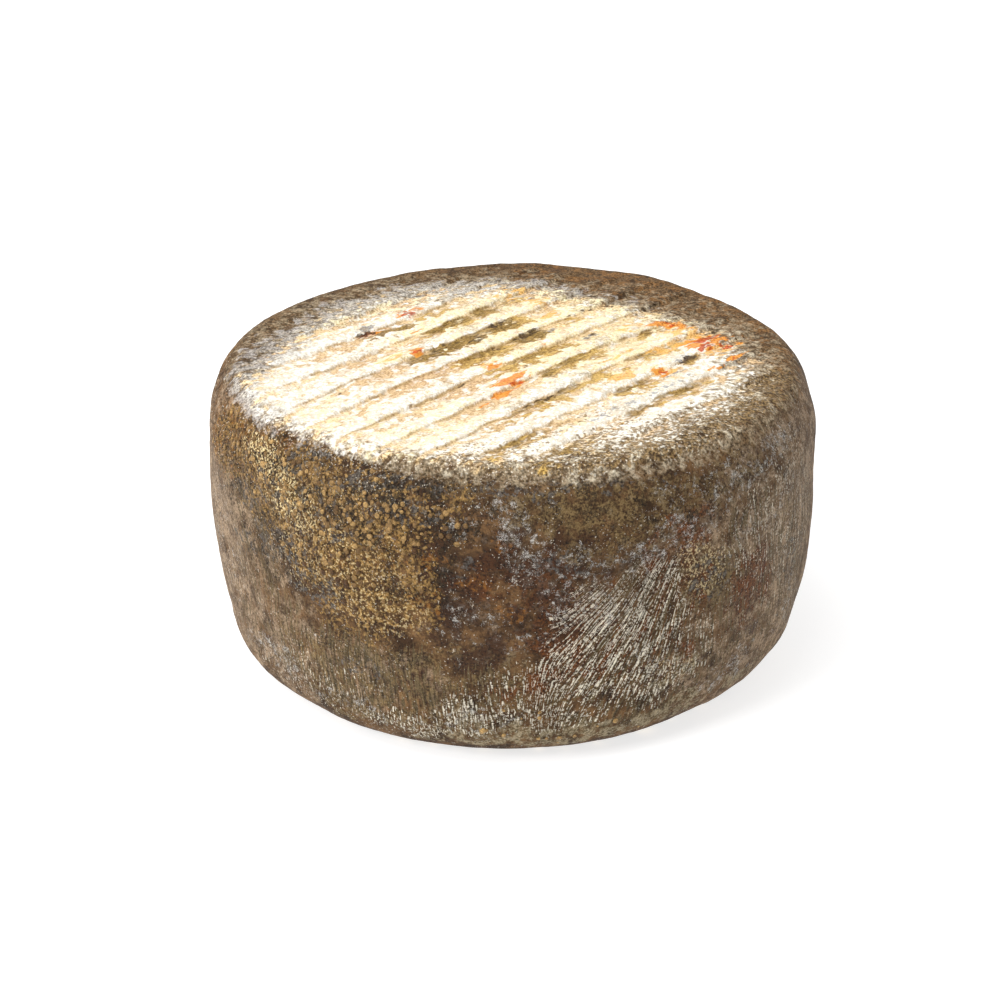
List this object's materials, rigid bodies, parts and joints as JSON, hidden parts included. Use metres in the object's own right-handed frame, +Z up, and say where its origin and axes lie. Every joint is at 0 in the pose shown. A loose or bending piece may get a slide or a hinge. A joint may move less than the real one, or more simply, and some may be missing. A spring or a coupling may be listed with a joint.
{
  "type": "cheese wheel",
  "caption": "Whole uncut natural-rind cheese: a low barrel-shaped wheel with rounded corners and parallel shelf-slat marks across both faces.",
  "frame": {"origin": "middle of the base, on the surface that the wheel rests on", "axes": "+Z up along the wheel's axis, -Y to the front, +X to the right seen from the front"},
  "size_m": [0.2012, 0.201, 0.1009],
  "materials": {
    "rind": "dry, rough natural rind: brown-grey crust with a white and cream mould bloom on the faces"
  },
  "bodies": {
    "root": {"cheese_wheel": "rind"}
  },
  "joints": []
}
